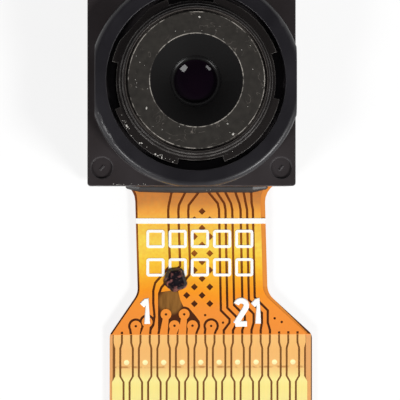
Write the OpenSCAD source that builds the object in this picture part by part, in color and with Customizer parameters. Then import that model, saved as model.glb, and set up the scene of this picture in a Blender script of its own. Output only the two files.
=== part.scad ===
// Fixed-focus camera module on a flexible printed circuit.
// The origin is on the optical axis, on the underside of the base plate.
// +Z looks out of the lens and the tail runs along -Y.

/* [Lens thread and turret] */
// Radius over the barrel's thread
thread_r = 2.47; // [2.3:0.01:2.7]
// Radial play between the barrel and the holder's bore
thread_fit = 0.03; // [0.02:0.01:0.05]
// Length of the threaded bore
thread_len = 1.5; // [1.2:0.05:1.9]
// How far the focusing lugs stand out from the thread
lug_reach = 0.18; // [0.12:0.01:0.24]
// Radial gap between the lugs and the wall of the turret
lug_clear = 0.13; // [0.08:0.01:0.2]
// Wall of the turret round its well
turret_wall = 0.52; // [0.45:0.01:0.6]
// Depth of the well that holds the lugs
well_depth = 0.55; // [0.45:0.01:0.7]
// Height of the turret above the holder's face
turret_h = 0.75; // [0.5:0.01:0.9]
// Radius of the rounded edge of the turret's top
turret_round = 0.18; // [0.08:0.01:0.25]
// Depth of the flat at each side of the turret
turret_flat = 0.18; // [0.12:0.01:0.24]

/* [Holder] */
// Least width of the holder beside the turret, to each side
holder_edge = 0.13; // [0.11:0.01:0.3]
// Sideways offset of the square body from the optical axis
holder_shift = 0.1; // [0:0.01:0.1]
// Thickness of the holder's side walls
holder_wall = 0.5; // [0.4:0.01:0.55]
// Height of the chamber over the sensor
chamber_h = 0.92; // [0.8:0.01:1.1]
// Thickness of the web between the chamber and the thread
web_t = 0.35; // [0.3:0.01:0.5]
// Radius of the light opening in the web
web_hole_r = 1.9; // [1.7:0.01:2.1]
// Radius of the vertical edges
edge_r = 0.1; // [0.05:0.01:0.2]
// Radius of the two round corner recesses
recess_r = 0.34; // [0.25:0.01:0.36]
// Distance of the recesses from the side of the holder
recess_side = 0.45; // [0.42:0.01:0.55]
// Distance of the recesses from the tail side of the holder
recess_end = 0.56; // [0.45:0.01:0.6]
// Depth of the recesses
recess_depth = 0.08; // [0.04:0.01:0.15]
// Thickness of the glue line under the holder
glue_t = 0.03; // [0.02:0.01:0.06]

/* [Lens barrel] */
// Gap left under the barrel and under its lugs for focusing
focus_gap = 0.15; // [0.1:0.01:0.2]
// Thickness of the focusing lugs
lug_t = 0.3; // [0.2:0.01:0.35]
// Number of focusing lugs
lug_count = 4; // [3:1:6]
// Angle that one lug covers
lug_angle = 58; // [40:1:60]
// Angle of the middle of the first lug
lug_start = -41.5; // [-60:0.5:60]
// Radial step from the thread to the lower ring
ring_step = 0.1; // [0.06:0.01:0.15]
// Radial width of the lower ring
ring_w = 0.09; // [0.06:0.01:0.14]
// Height of the lower ring above the lugs
ring_h = 0.2; // [0.1:0.01:0.25]
// Height of the rim above the lower ring
rim_h = 0.15; // [0.1:0.01:0.2]
// Radial width of the groove inside the rim
groove_w = 0.07; // [0.04:0.01:0.1]
// Depth of the groove below the matt face
groove_d = 0.11; // [0.05:0.01:0.15]
// Depth of the matt face below the rim
face_drop = 0.04; // [0.01:0.01:0.08]
// Radius of the mouth of the bowl
bowl_r = 1.43; // [1.3:0.01:1.6]
// Radius of the bottom of the bowl
bowl_floor_r = 0.8; // [0.75:0.01:0.95]
// Depth of the bowl
bowl_depth = 0.56; // [0.45:0.01:0.6]
// Radius of the front opening
iris_r = 0.66; // [0.6:0.01:0.7]
// Thickness of the lip round the front opening
lip_t = 0.12; // [0.08:0.01:0.2]
// Height of the small step round the front opening
lip_step = 0.04; // [0.02:0.01:0.08]

/* [Lens stack] */
// Radius of the front lens
lens_r = 1.15; // [1.05:0.01:1.2]
// Growth in radius from one lens to the next
lens_growth = 0.23; // [0.18:0.01:0.26]
// Radial play of each lens in its seat
lens_fit = 0.02; // [0.01:0.005:0.03]
// Rim thickness of the front lens
lens_1_t = 0.36; // [0.3:0.01:0.42]
// Rim thickness of the second lens
lens_2_t = 0.26; // [0.22:0.01:0.3]
// Rim thickness of the third lens
lens_3_t = 0.26; // [0.22:0.01:0.3]
// Rim thickness of the fourth lens
lens_4_t = 0.2; // [0.16:0.01:0.24]
// Thickness of the aperture stop and the spacer rings
spacer_t = 0.05; // [0.03:0.01:0.06]
// Radius of the hole in the aperture stop
stop_r = 0.6; // [0.5:0.01:0.7]
// Thickness of the retaining ring
retainer_t = 0.12; // [0.08:0.01:0.14]
// Radial width of the retaining ring
retainer_w = 0.35; // [0.2:0.01:0.45]
// Height of the front lens's dome
dome_h = 0.1; // [0.06:0.01:0.12]
// Depth or height of the inner lens faces
sag = 0.04; // [0.02:0.005:0.045]

/* [Filter and sensor] */
// Side of the square infrared filter
filter_w = 4.6; // [4.3:0.05:4.8]
// Thickness of the filter
filter_t = 0.21; // [0.15:0.01:0.3]
// Depth of the filter's seat in the web
filter_seat = 0.15; // [0.1:0.01:0.2]
// Play between the filter and its seat, each side
filter_fit = 0.05; // [0.03:0.01:0.08]
// Length of the sensor chip along X
chip_x = 4.5; // [4.2:0.05:4.6]
// Length of the sensor chip along Y
chip_y = 3.9; // [3.6:0.05:4]
// Thickness of the sensor chip
chip_t = 0.18; // [0.12:0.01:0.25]
// Length of the light-sensitive area along X
pixels_x = 3.67; // [3.2:0.01:3.9]
// Length of the light-sensitive area along Y
pixels_y = 2.74; // [2.4:0.01:3]
// Number of bond wires on each side of the chip
wire_count = 14; // [8:1:18]
// Spacing of the bond wires
wire_pitch = 0.25; // [0.2:0.01:0.26]
// Thickness of a bond wire
wire_t = 0.03; // [0.02:0.005:0.04]
// Height of a bond wire's loop above the chip
wire_loop = 0.1; // [0.06:0.01:0.15]
// Length of a chip capacitor
cap_l = 0.6; // [0.5:0.05:0.7]
// Width and height of a chip capacitor
cap_w = 0.3; // [0.25:0.01:0.33]
// Spacing of the chip capacitors
cap_pitch = 1.1; // [0.9:0.05:1.2]

/* [Layers of the circuit] */
// Thickness of the base plate and of the finger stiffener
plate_t = 0.15; // [0.1:0.01:0.3]
// Thickness of the adhesive films on them
adhesive_t = 0.03; // [0.02:0.005:0.05]
// Thickness of the bottom coverlay
bottom_cover_t = 0.025; // [0.02:0.005:0.05]
// Thickness of the base film
base_t = 0.045; // [0.03:0.005:0.07]
// Thickness of the copper
copper_t = 0.02; // [0.015:0.005:0.035]
// Thickness of the gold-plated fingers
finger_t = 0.025; // [0.02:0.005:0.035]
// Thickness of the coverlay over the copper
cover_t = 0.03; // [0.025:0.005:0.05]
// Depth to which the coverlay sinks between the copper lines
emboss = 0.018; // [0.01:0.002:0.02]

/* [Tail] */
// Inset of the circuit from the sides of the holder
board_inset = 0.15; // [0.1:0.01:0.25]
// Width of the neck at the holder
neck_w = 4.21; // [3.9:0.01:4.6]
// Sideways place of the neck's middle at the holder
neck_x = 0.285; // [0.1:0.005:0.4]
// How far the neck leans sideways on its way down
neck_lean = 0.1; // [0:0.01:0.15]
// Length of the neck from the holder to the flare
neck_len = 3.47; // [3.2:0.01:4.5]
// Length of the flare
flare_len = 1.33; // [1.28:0.01:1.8]
// Length of the fingers' end
finger_len = 2.76; // [2.65:0.01:3.4]
// Fillet radius between the holder end and the neck
neck_fillet = 0.65; // [0.3:0.01:0.7]
// Fillet radius where the flare starts
flare_fillet = 0.6; // [0.3:0.01:0.8]
// Fillet radius where the flare ends
flare_corner = 0.3; // [0.1:0.01:0.4]
// Corner radius at the end of the tail
tail_corner = 0.25; // [0.1:0.01:0.4]
// Clear edge of the film beside the copper on the first finger's side
copper_edge_a = 0.07; // [0.04:0.01:0.1]
// Clear edge of the film beside the copper on the last finger's side
copper_edge_b = 0.16; // [0.04:0.01:0.18]

/* [Contact fingers] */
// Number of fingers
finger_count = 21; // [17:2:25]
// Spacing of the fingers
finger_pitch = 0.3; // [0.28:0.01:0.34]
// Sideways place of the finger field's middle
finger_x = 0.615; // [0.5:0.005:0.7]
// Gap between neighbouring fingers
finger_gap = 0.065; // [0.05:0.005:0.08]
// Width of a finger's contact pad
pad_w = 0.34; // [0.3:0.01:0.36]
// Film beyond the outermost finger on the first side
margin_a = 0.095; // [0.07:0.005:0.15]
// Film beyond the outermost finger on the last side
margin_b = 0.175; // [0.1:0.005:0.25]
// Distance from the coverlay to the shoulder of the first row's pads
shoulder = 0.26; // [0.15:0.01:0.35]
// Length over which a finger changes width
taper = 0.18; // [0.1:0.01:0.25]
// Distance from the coverlay to the end of the first row's pads
row_len = 1.35; // [1.2:0.01:1.5]
// Film left bare beyond the fingers' ends
end_margin = 0.25; // [0.1:0.01:0.35]
// Distance of the contact dimples from the coverlay
dimple_y = 0.9; // [0.7:0.01:1]
// Radius of a contact dimple
dimple_r = 0.1; // [0.06:0.01:0.12]
// Depth of a contact dimple
dimple_d = 0.01; // [0.005:0.001:0.015]

/* [Copper pattern] */
// Width of the gaps between copper lines
gap_w = 0.095; // [0.08:0.005:0.105]
// Radius of a round via pad
via_pad_r = 0.165; // [0.14:0.005:0.18]
// Radius of the hole in a via pad
via_r = 0.05; // [0.035:0.005:0.06]
// Side of a diamond opening in the ground area
diamond = 0.18; // [0.12:0.005:0.19]
// Sideways spacing of the diamonds
diamond_x = 0.5; // [0.45:0.01:0.52]
// Spacing of the rows of diamonds
diamond_y = 0.272; // [0.24:0.002:0.32]

/* [Print, glue and resin] */
// Width of the printed line
line_w = 0.17; // [0.1:0.01:0.25]
// Thickness of the print
print_t = 0.012; // [0.008:0.002:0.02]
// Distance of the printed line from the holder
line_y = 1.12; // [0.9:0.01:1.4]
// How far the glue bead reaches from the holder
bead_r = 0.22; // [0.15:0.01:0.3]
// Distance of the resin drop from the holder
drop_y = 3.02; // [2.9:0.01:3.1]
// Radius of the resin drop
drop_r = 0.36; // [0.25:0.01:0.4]
// Height of the resin drop
drop_h = 0.16; // [0.1:0.01:0.25]

/* [Hidden] */
// How far the film's channels stay inside the gaps of the copper
channel_inset = 0.01;
$fn = 96;
eps = 0.01;

// Heights of the layers, from the underside up
adhesive_z = plate_t;
bottom_cover_z = adhesive_z + adhesive_t;
base_z = bottom_cover_z + bottom_cover_t;
copper_z = base_z + base_t;
cover_z = copper_z + copper_t;
board_top = cover_z + cover_t;
holder_z = board_top + glue_t;

// Heights in the holder and the barrel
chamber_z = holder_z + chamber_h;
web_top = chamber_z + web_t;
well_z = web_top + thread_len;
turret_z = well_z + well_depth;
holder_face = turret_z - turret_h;
barrel_z = web_top + focus_gap;
lug_z = well_z + focus_gap;
ledge_z = lug_z + lug_t;
ring_z = ledge_z + ring_h;
rim_z = ring_z + rim_h;
face_z = rim_z - face_drop;
bowl_z = face_z - bowl_depth;
lip_z = bowl_z - lip_step;

// Heights in the lens stack, from the front down
seat_1 = lip_z - lip_t;
stop_z = seat_1 - lens_1_t - spacer_t;
lens_2_z = stop_z - lens_2_t;
spacer_2_z = lens_2_z - spacer_t;
lens_3_z = spacer_2_z - lens_3_t;
spacer_3_z = lens_3_z - spacer_t;
lens_4_z = spacer_3_z - lens_4_t;
retainer_z = lens_4_z - retainer_t;

// Radii
bore_r = thread_r + thread_fit;
lug_r = thread_r + lug_reach;
well_r = lug_r + lug_clear;
turret_r = well_r + turret_wall;
turret_half = turret_r - turret_flat;
ring_r = thread_r - ring_step;
rim_r = ring_r - ring_w;
groove_r = rim_r - ring_w;
matt_r = groove_r - groove_w;
lens_radii = [for (i = [0:3]) lens_r + i * lens_growth];

// Holder and board in plan
holder_w = 2 * (turret_half + holder_edge);
chamber_w = holder_w - 2 * holder_wall;
board_w = holder_w - 2 * board_inset;
tail_y = -holder_w / 2;
flare_y = tail_y - neck_len;
cover_y = flare_y - flare_len;
end_y = cover_y - finger_len;
neck_a = neck_x - neck_w / 2;
neck_b = neck_x + neck_w / 2;
field_w = finger_count * finger_pitch;
edge_a = finger_x - field_w / 2 - margin_a;
edge_b = finger_x + field_w / 2 + margin_b;

// Sideways place of the middle of finger k, and of the gap before it
function finger_mid(k) = finger_x + (k - (finger_count - 1) / 2) * finger_pitch;
function finger_gap_x(k) = finger_mid(k) - finger_pitch / 2;

function unit(v) = v / norm(v);

// Arc of radius r in the corner b between the sides to a and c
function corner_arc(a, b, c, r, n = 6) =
    let (u = unit(a - b), v = unit(c - b), half = acos(u * v) / 2,
        mid = b + unit(u + v) * r / sin(half),
        s = b + u * r / tan(half) - mid,
        turn = (180 - 2 * half) * sign(cross(s, b + v * r / tan(half) - mid)))
    [for (i = [0:n]) let (t = turn * i / n) mid + [s.x * cos(t) - s.y * sin(t), s.x * sin(t) + s.y * cos(t)]];

// Closed outline through corners [x, y, r], each rounded with its own radius
function rounded(p) = [for (i = [0 : len(p) - 1])
    let (n = len(p), a = p[(i + n - 1) % n], b = p[i], c = p[(i + 1) % n])
    each b[2] == 0 ? [[b.x, b.y]] : corner_arc([a.x, a.y], [b.x, b.y], [c.x, c.y], b[2])];

// Outline of a band of width w along the open path p, with mitred corners
function band(p, w) =
    let (last = len(p) - 1,
        side = [for (i = [0:last])
            let (a = unit(i > 0 ? p[i] - p[i - 1] : p[1] - p[0]),
                b = i < last ? unit(p[i + 1] - p[i]) : a, m = unit(a + b))
            [-m.y, m.x] * w / 2 / (m * a)])
    concat([for (i = [0:last]) p[i] + side[i]], [for (i = [last:-1:0]) p[i] - side[i]]);

// Shapes in plan

// Square about the body's own middle, with rounded corners
module body_square(w, r = 0) {
    translate([-holder_shift, 0]) {
        square([w - 2 * r, w], center = true);
        square([w, w - 2 * r], center = true);
        if (r > 0)
            for (x = [-1, 1], y = [-1, 1])
                translate([x, y] * (w / 2 - r)) circle(r);
    }
}

// Outline of the whole circuit, drawn in by a on the first finger's side and by b on the last one's
module board_outline(a = 0, b = 0) {
    half = board_w / 2;
    polygon(rounded([
        [-holder_shift - half + a, half - a, edge_r],
        [-holder_shift - half + a, -half + a, edge_r],
        [neck_a + a, -half + a, neck_fillet],
        [neck_a + neck_lean + a, flare_y, flare_fillet],
        [edge_a + a, cover_y, flare_corner],
        [edge_a + a, end_y, tail_corner],
        [edge_b - b, end_y, tail_corner],
        [edge_b - b, cover_y, flare_corner],
        [neck_b + neck_lean - b, flare_y, flare_fillet],
        [neck_b - b, -half + a, neck_fillet],
        [-holder_shift + half - a, -half + a, edge_r],
        [-holder_shift + half - a, half - a, edge_r]]));
}

// Half plane below y, wide enough for the whole tail
module below(y) {
    translate([-holder_w, y - 2 * finger_len - neck_len]) square([2 * holder_w, 2 * finger_len + neck_len]);
}

// Copper pattern

// Lines left of the ground area, by their place at the neck, and right of it
left_lines = [-0.74, -0.41, -0.09];
right_lines = [0.91, 1.12, 1.34, 1.61, 1.82, 2.01];
// How far above the coverlay's edge the right lines turn, and where they run after it
turn_first = 0.78;
turn_stagger = 0.085;
right_bump = [0.185, 0.13, 0.085, 0.07, 0.04, -0.07];
// Largest bend of the lines toward the middle where they go under the holder
fan = 0.33;
// Finger that the first right line leads to
right_finger = (finger_count + 1) / 2 + 1;

// Path of the left line i down to height y
function left_top(i) = let (x = left_lines[i], b = fan * (i + 1) / 3)
    [[x + b + 0.1, tail_y + 0.45], [x + b, tail_y - 0.2], [x + 0.02, tail_y - 0.6],
        [x, tail_y - 0.8], [x + neck_lean * 0.6, flare_y + 0.9]];

function first_line() = concat(left_top(0), [
    [-1.16, flare_y + 0.35], [-1.22, flare_y + 0.1], [-1.22, cover_y + 1.0],
    [-1.18, cover_y + 0.6], [-1.22, cover_y + 0.32], [finger_gap_x(4), cover_y + 0.12],
    [finger_gap_x(4), cover_y - eps]]);

function second_line() = concat(left_top(1), [
    [-0.96, flare_y + 0.2], [-1.03, flare_y], [-1.03, cover_y + 0.25],
    [finger_gap_x(5), cover_y - eps]]);

function third_line() = concat(left_top(2), [[-0.06, flare_y + 0.6], [-0.42, flare_y + 0.15], [-0.47, flare_y + 0.02]]);

function right_line(i) =
    let (x = right_lines[i], low = x + neck_lean * 0.6, b = fan * (1 - i / 6),
        turn = cover_y + turn_first + i * turn_stagger,
        end_x = finger_gap_x(right_finger + i), run = end_x + right_bump[i])
    [[x - b - 0.1, tail_y + 0.45], [x - b, tail_y - 0.2], [x - 0.04, tail_y - 0.55], [x, tail_y - 0.75],
        [low, turn], [run, turn - (run - low)], [run, cover_y + 0.38], [end_x, cover_y + 0.14],
        [end_x, cover_y - eps]];

// Via pads as [place in X, height above the coverlay's edge, finger that each feeds]
vias = [[-1.785, 0.28, 2], [-1.42, 0.41, 3], [-0.81, 0.66, 5], [-0.535, 0.29, 6], [-0.22, 0.66, 7],
    [0.05, 0.29, 8], [0.655, 0.28, 10]];
// Plain vias in the ground areas
plain_vias = [[1.04, 0.385], [0.46, 0.63], [2.72, 0.52], [2.95, 0.4]];

// Window in the copper round the inner via pads
function clear_window() = [
    [-1.03, flare_y + 0.05], [-0.42, flare_y + 0.15], [-0.34, flare_y - 0.2], [-0.24, cover_y + 0.92],
    [0.0, cover_y + 0.8], [0.17, cover_y + 0.6], [0.3, cover_y + 0.42], [0.29, cover_y + 0.25],
    [finger_gap_x(9) + gap_w / 2, cover_y + 0.1], [finger_gap_x(9) + gap_w / 2, cover_y - eps],
    [finger_gap_x(5) - gap_w / 2, cover_y - eps], [-1.03 - gap_w / 2, cover_y + 0.25]];

// Middles of the diamond openings, in staggered rows from the first one above the fingers;
// the ground area is a diamond wider to the left in the second row
hatch_x = 0.36;
hatch_y = cover_y + 1.0;
hatch_rows = floor((tail_y - 0.55 - hatch_y) / diamond_y);
diamonds = [for (i = [0 : hatch_rows], x = i % 2 == 0 ? [-0.5, 0.5] : i == 1 ? [-1, 0] : [0])
    [hatch_x + x * diamond_x, hatch_y + i * diamond_y]];

// Round via pad with the neck that joins it to its finger
module via_island(v, grow = 0) {
    y = cover_y + v[1];
    half = (finger_pitch - finger_gap) / 2 + grow;
    // A pad close to its finger joins it at nearly its full width
    stem = via_pad_r * (v[1] < 2 * via_pad_r ? 0.85 : 0.5) + grow;
    mid = finger_mid(v[2]);
    translate([v[0], y]) circle(via_pad_r + grow);
    polygon([[mid - half, cover_y - eps], [mid - half, cover_y + 0.05], [v[0] - stem, y - via_pad_r * 0.5],
        [v[0] - stem, y], [v[0] + stem, y], [v[0] + stem, y - via_pad_r * 0.5],
        [mid + half, cover_y + 0.05], [mid + half, cover_y - eps]]);
}

// Everything that is etched away from the neck's copper; narrow by trim on every side
module etched(trim = 0) {
    w = gap_w - 2 * trim;
    difference() {
        union() {
            polygon(band(first_line(), w));
            polygon(band(second_line(), w));
            polygon(band(third_line(), w));
            for (i = [0 : len(right_lines) - 1]) polygon(band(right_line(i), w));
            offset(delta = -trim) polygon(clear_window());
            for (v = vias) via_island(v, gap_w - trim);
            for (k = [1, right_finger + 6, right_finger + 7, right_finger + 8])
                translate([finger_gap_x(k) - w / 2, cover_y - eps]) square([w, 0.1 + eps]);
        }
        for (v = vias) via_island(v, trim);
    }
    for (d = diamonds) translate(d) rotate(45) square(diamond - 2 * trim, center = true);
}

module neck_copper() {
    difference() {
        intersection() {
            board_outline(copper_edge_a, copper_edge_b);
            translate([-holder_w, cover_y]) square([2 * holder_w, tail_y + holder_wall - board_inset - cover_y]);
        }
        etched();
        via_holes();
    }
}

module via_holes(trim = 0) {
    for (v = concat(vias, plain_vias)) translate([v[0], cover_y + v[1]]) circle(via_r - trim);
}

// Pads on the board inside the holder: under the chip, for the wires and for the capacitors
wire_foot_x = (chip_x + chamber_w) / 4;
cap_y = (chip_y + chamber_w) / 4;

module chamber_pads() {
    translate([-holder_shift, 0]) {
        square([chip_x - 0.2, chip_y - 0.2], center = true);
        for (s = [-1, 1], i = [0 : wire_count - 1])
            translate([s * wire_foot_x, (i - (wire_count - 1) / 2) * wire_pitch])
                square([0.16, wire_pitch * 0.56], center = true);
        for (s = [-1, 1], i = [-1:1], e = [-1, 1])
            translate([i * cap_pitch + e * cap_l * 0.33, s * cap_y]) square([cap_l * 0.3, cap_w * 0.9], center = true);
    }
}

// Housing

module lens_holder() {
    color("#26262a") {
        difference() {
            union() {
                translate([0, 0, holder_z]) linear_extrude(holder_face - holder_z) body_square(holder_w, edge_r);
                turret();
            }
            translate([0, 0, holder_z - eps]) linear_extrude(chamber_h + eps) body_square(chamber_w);
            translate([0, 0, chamber_z - eps]) linear_extrude(filter_seat + eps) body_square(filter_w + 2 * filter_fit);
            translate([0, 0, chamber_z]) cylinder(r = web_hole_r, h = web_t + eps);
            translate([0, 0, web_top]) cylinder(r = bore_r, h = thread_len + eps);
            translate([0, 0, well_z]) cylinder(r = well_r, h = well_depth + eps);
            for (s = [-1, 1]) recess_at(s) cylinder(r = recess_r, h = recess_depth + eps);
        }
        // Slanted mould mark on the floor of each recess
        for (s = [-1, 1]) recess_at(s) rotate(-38) translate([-0.02, -0.09, -eps]) cube([0.04, 0.18, 0.03 + eps]);
    }
}

// Turret: round with a rounded top edge, flat at its sides, and flush with the holder at its ends
module turret() {
    wall_h = turret_h - turret_round + eps;
    intersection() {
        translate([0, 0, holder_face - eps]) rotate_extrude() {
            square([turret_r - turret_round, turret_h + eps]);
            square([turret_r, wall_h]);
            translate([turret_r - turret_round, wall_h]) circle(turret_round);
        }
        translate([-turret_half, tail_y, holder_face - 2 * eps])
            cube([2 * turret_half, holder_w, turret_h + 3 * eps]);
    }
}

module recess_at(side) {
    translate([-holder_shift + side * (holder_w / 2 - recess_side), tail_y + recess_end, holder_face - recess_depth])
        children();
}

// Barrel: turned profile with stepped seats for the lenses, and four lugs
module lens_barrel() {
    seat = [for (r = lens_radii) r + lens_fit];
    color("#2b2b2d")
    difference() {
        union() {
            rotate_extrude() polygon([
                [iris_r, seat_1], [iris_r, lip_z], [bowl_floor_r, lip_z], [bowl_floor_r, bowl_z],
                [bowl_r, face_z], [matt_r, face_z], [matt_r, face_z - groove_d],
                [groove_r, face_z - groove_d], [groove_r, rim_z], [rim_r - 0.02, rim_z], [rim_r, rim_z - 0.02],
                [rim_r, ring_z], [ring_r - 0.02, ring_z], [ring_r, ring_z - 0.02], [ring_r, ledge_z],
                [thread_r, ledge_z], [thread_r, barrel_z + 0.08], [thread_r - 0.08, barrel_z],
                [seat[3], barrel_z], [seat[3], spacer_3_z], [seat[2], spacer_3_z], [seat[2], spacer_2_z],
                [seat[1], spacer_2_z], [seat[1], stop_z], [seat[0], stop_z], [seat[0], seat_1]]);
            for (i = [0 : lug_count - 1])
                rotate(lug_start + i * 360 / lug_count - lug_angle / 2) rotate_extrude(angle = lug_angle)
                    translate([thread_r - 0.1, lug_z]) square([lug_reach + 0.1, lug_t]);
        }
        // Flat moulded on one lug
        rotate(lug_start + 2 * 360 / lug_count - 1)
            translate([lug_r - 0.09, -1, lug_z - eps]) cube([0.2, 2, lug_t + 2 * eps]);
    }
}

// Lens stack

// Radius of the ball whose cap has radius r and height h
function ball_r(r, h) = (r * r + h * h) / (2 * h);

// Dome of radius r and height h that stands on z = 0
module dome(r, h) {
    intersection() {
        translate([0, 0, h - ball_r(r, h)]) sphere(ball_r(r, h), $fn = 240);
        translate([0, 0, -eps]) cylinder(r = r + 0.1, h = h + 2 * eps);
    }
}

// Ball that cuts a hollow of radius r and depth h into a face at z = 0, from above
module hollow(r, h) {
    translate([0, 0, ball_r(r, h) - h]) sphere(ball_r(r, h), $fn = 240);
}

// Disc with a dome or a hollow in each face; a negative height is a hollow
module lens(r, z, t, front_r, front_h, back_r, back_h) {
    translate([0, 0, z]) difference() {
        union() {
            cylinder(r = r, h = t);
            if (front_h > 0) translate([0, 0, t]) dome(front_r, front_h);
            if (back_h > 0) mirror([0, 0, 1]) dome(back_r, back_h);
        }
        if (front_h < 0) translate([0, 0, t]) hollow(front_r, -front_h);
        if (back_h < 0) mirror([0, 0, 1]) hollow(back_r, -back_h);
    }
}

module ring(r, hole, z, t) {
    translate([0, 0, z]) difference() {
        cylinder(r = r, h = t);
        translate([0, 0, -eps]) cylinder(r = hole, h = t + 2 * eps);
    }
}

module front_lens() {
    color("#3a3350") lens(lens_radii[0], seat_1 - lens_1_t, lens_1_t, iris_r - 0.04, dome_h, stop_r, -sag);
}

module aperture_stop() {
    color("#101010") ring(lens_radii[0], stop_r, stop_z, spacer_t);
}

module second_lens() {
    color("#8890a0") lens(lens_radii[1], lens_2_z, lens_2_t, stop_r, -sag, stop_r + 0.1, -2 * sag);
}

module front_spacer() {
    color("#101010") ring(lens_radii[1], stop_r + 0.2, spacer_2_z, spacer_t);
}

module third_lens() {
    color("#8890a0") lens(lens_radii[2], lens_3_z, lens_3_t, stop_r + 0.1, sag, stop_r + 0.4, sag);
}

module rear_spacer() {
    color("#101010") ring(lens_radii[2], stop_r + 0.5, spacer_3_z, spacer_t);
}

module fourth_lens() {
    color("#8890a0") lens(lens_radii[3], lens_4_z, lens_4_t, stop_r + 0.5, -sag, stop_r + 0.6, -sag);
}

module lens_retainer() {
    color("#101010") ring(lens_radii[3], lens_radii[3] - retainer_w, retainer_z, retainer_t);
}

// Filter, sensor and the parts round it

module ir_filter() {
    color("#7fb6c9", 0.6) translate([0, 0, chamber_z + filter_seat - filter_t]) linear_extrude(filter_t)
        body_square(filter_w);
}

module image_sensor() {
    color("#3f5560") translate([-holder_shift, 0, cover_z]) {
        translate([-chip_x / 2, -chip_y / 2, 0]) cube([chip_x, chip_y, chip_t]);
        translate([-pixels_x / 2, -pixels_y / 2, chip_t - eps]) cube([pixels_x, pixels_y, 2 * eps]);
    }
}

// One arched wire, drawn in its own plane from the chip outward
module bond_wire() {
    start = chip_x / 2 - 0.08;
    path = [[start, chip_t], [start + 0.02, chip_t + wire_loop * 0.8], [start + 0.06, chip_t + wire_loop],
        [wire_foot_x - 0.03, chip_t * 0.6], [wire_foot_x, 0]];
    intersection() {
        polygon(band(concat([path[0] - [0, eps]], path, [path[4] - [0, eps]]), wire_t));
        difference() {
            translate([0, 0]) square([chamber_w, chamber_h]);
            square([chip_x / 2, chip_t]);
        }
    }
}

module bond_wires() {
    color("#d8a740") translate([-holder_shift, 0, cover_z])
        for (s = [0, 180], i = [0 : wire_count - 1])
            rotate(s) translate([0, (i - (wire_count - 1) / 2) * wire_pitch + wire_t / 2, 0])
                rotate([90, 0, 0]) linear_extrude(wire_t) bond_wire();
}

module chip_capacitors() {
    color("#b89a74") translate([-holder_shift, 0, cover_z])
        for (s = [-1, 1], i = [-1:1])
            translate([i * cap_pitch - cap_l / 2, s * cap_y - cap_w / 2, 0]) cube([cap_l, cap_w, cap_w]);
}

// Glue, print and dirt

module holder_glue() {
    color("#18181a") translate([0, 0, board_top]) linear_extrude(glue_t) difference() {
        body_square(board_w, edge_r);
        body_square(chamber_w);
    }
}

// Beads of glue along the tail's exit as [place across the neck from 0 to 1, size from 0 to 1]
bead_blobs = [[-0.05, 0.4], [0.04, 0.85], [0.24, 0.95], [0.45, 1], [0.66, 0.9], [0.9, 0.95], [1.0, 0.5]];

module glue_bead() {
    color("#141416") intersection() {
        for (i = [0 : len(bead_blobs) - 2]) hull() {
            bead_blob(bead_blobs[i]);
            bead_blob(bead_blobs[i + 1]);
        }
        translate([-holder_w, tail_y - 2 * bead_r, board_top]) cube([2 * holder_w, 2 * bead_r, 2 * bead_r]);
    }
}

module bead_blob(b) {
    translate([neck_a + b[0] * neck_w, tail_y, board_top]) sphere(bead_r * b[1], $fn = 16);
}

module silkscreen_line() {
    y = tail_y - line_y;
    color("white") translate([0, 0, board_top]) linear_extrude(print_t) intersection() {
        board_outline();
        translate([-holder_w, y - line_w / 2]) square([2 * holder_w, line_w]);
    }
}

// Irregular drop: lobes as [x, y, size, height], in shares of the drop's radius and height
drop_lobes = [[-0.35, 0.55, 0.5, 1], [0.25, 0.6, 0.5, 0.85], [0.55, -0.35, 0.5, 0.7], [-0.1, -0.65, 0.45, 0.8],
    [-0.6, -0.15, 0.5, 0.9]];

module resin_drop() {
    color("#1d1630") translate([-0.5, tail_y - drop_y, board_top]) hull()
        for (d = drop_lobes) translate([d[0], d[1]] * drop_r) {
            cylinder(r = drop_r * d[2], h = 0.02, $fn = 32);
            cylinder(r = drop_r * d[2] * 0.45, h = drop_h * d[3], $fn = 32);
        }
}

// Layers of the circuit, from the top down

module coverlay() {
    color("#e8932a") difference() {
        translate([0, 0, copper_z]) linear_extrude(copper_t + cover_t) difference() {
            board_outline();
            below(cover_y);
            body_square(chamber_w);
        }
        translate([0, 0, copper_z - eps]) linear_extrude(copper_t + eps) neck_copper();
        translate([0, 0, board_top - emboss]) linear_extrude(emboss + eps) intersection() {
            union() {
                etched(channel_inset);
                via_holes(channel_inset);
                difference() {
                    below(tail_y);
                    board_outline(copper_edge_a - channel_inset, copper_edge_b - channel_inset);
                }
            }
            translate([-holder_w, cover_y + 2 * channel_inset])
                square([2 * holder_w, tail_y - cover_y - 2 * channel_inset]);
        }
    }
}

module copper_traces() {
    color("#c8752e") translate([0, 0, copper_z]) linear_extrude(copper_t) {
        neck_copper();
        chamber_pads();
    }
}

// Half width of a finger at its top, along its contact pad and along its narrow stretch
half_top = (finger_pitch - finger_gap) / 2;
half_pad = pad_w / 2;
half_thin = finger_pitch - finger_gap - half_pad;

// Outline of one finger; the first row has its pad near the coverlay, the second near the end
function finger_outline(first_row) =
    let (a = first_row ? half_pad : half_thin, b = first_row ? half_thin : half_pad,
        y = [0, -shoulder, -shoulder - taper, -row_len, -row_len - taper, end_margin - finger_len],
        w = [half_top, half_top, a, a, b, b])
    concat([for (i = [0:5]) [w[i], y[i]]], [for (i = [5:-1:0]) [-w[i], y[i]]]);

module contact_fingers() {
    color("#e5b85a") for (k = [0 : finger_count - 1]) {
        first_row = k % 2 == 1;
        translate([finger_mid(k), cover_y, copper_z]) difference() {
            linear_extrude(finger_t) polygon(finger_outline(first_row));
            if (first_row) translate([0, -dimple_y, finger_t]) hollow(dimple_r, dimple_d);
        }
    }
}

module flex_base() {
    color("#b5651d") translate([0, 0, base_z]) linear_extrude(base_t) board_outline();
}

module bottom_coverlay() {
    color("#c77a25") translate([0, 0, bottom_cover_z]) linear_extrude(bottom_cover_t) board_outline();
}

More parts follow.
